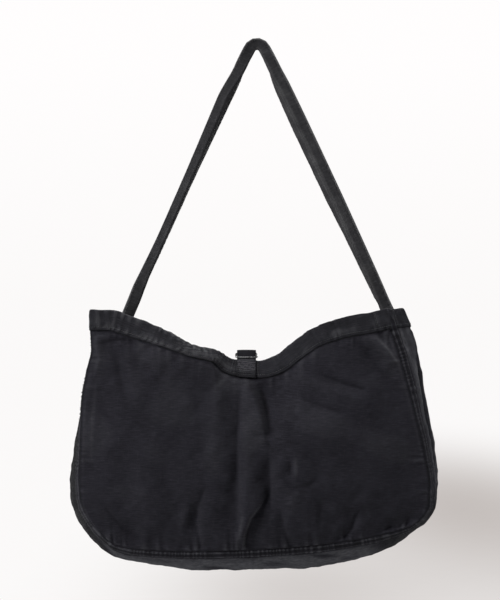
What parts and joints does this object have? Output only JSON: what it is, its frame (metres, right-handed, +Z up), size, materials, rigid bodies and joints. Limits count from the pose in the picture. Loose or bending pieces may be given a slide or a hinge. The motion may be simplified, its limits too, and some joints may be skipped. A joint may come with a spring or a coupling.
{
  "type": "newspaper delivery bag",
  "caption": "Wide soft canvas shoulder bag for carrying newspapers, hanging empty by its folded strap, with gusseted sides, a hemmed mouth and a short strap with a ring slide closing it.",
  "frame": {"origin": "the underside of the shoulder strap at the place where it hangs", "axes": "+Z up, +X to the right as seen from the front, -Y towards the front panel"},
  "size_m": [0.5629, 0.174, 0.8139],
  "materials": {
    "canvas": "washed black cotton canvas with pale slubs, faded at seams and folds",
    "hem_canvas": "the same canvas, puckered along its stitching and rubbed paler at the edge",
    "strap_canvas": "the same canvas in several layers, stitched along both edges",
    "slide_metal": "dulled wire"
  },
  "bodies": {
    "root": {"front_panel": "canvas", "back_panel": "canvas", "gusset": "canvas", "hem_band": "hem_canvas", "shoulder_strap": "strap_canvas", "closing_strap": "hem_canvas", "ring_slide": "slide_metal"}
  },
  "joints": []
}
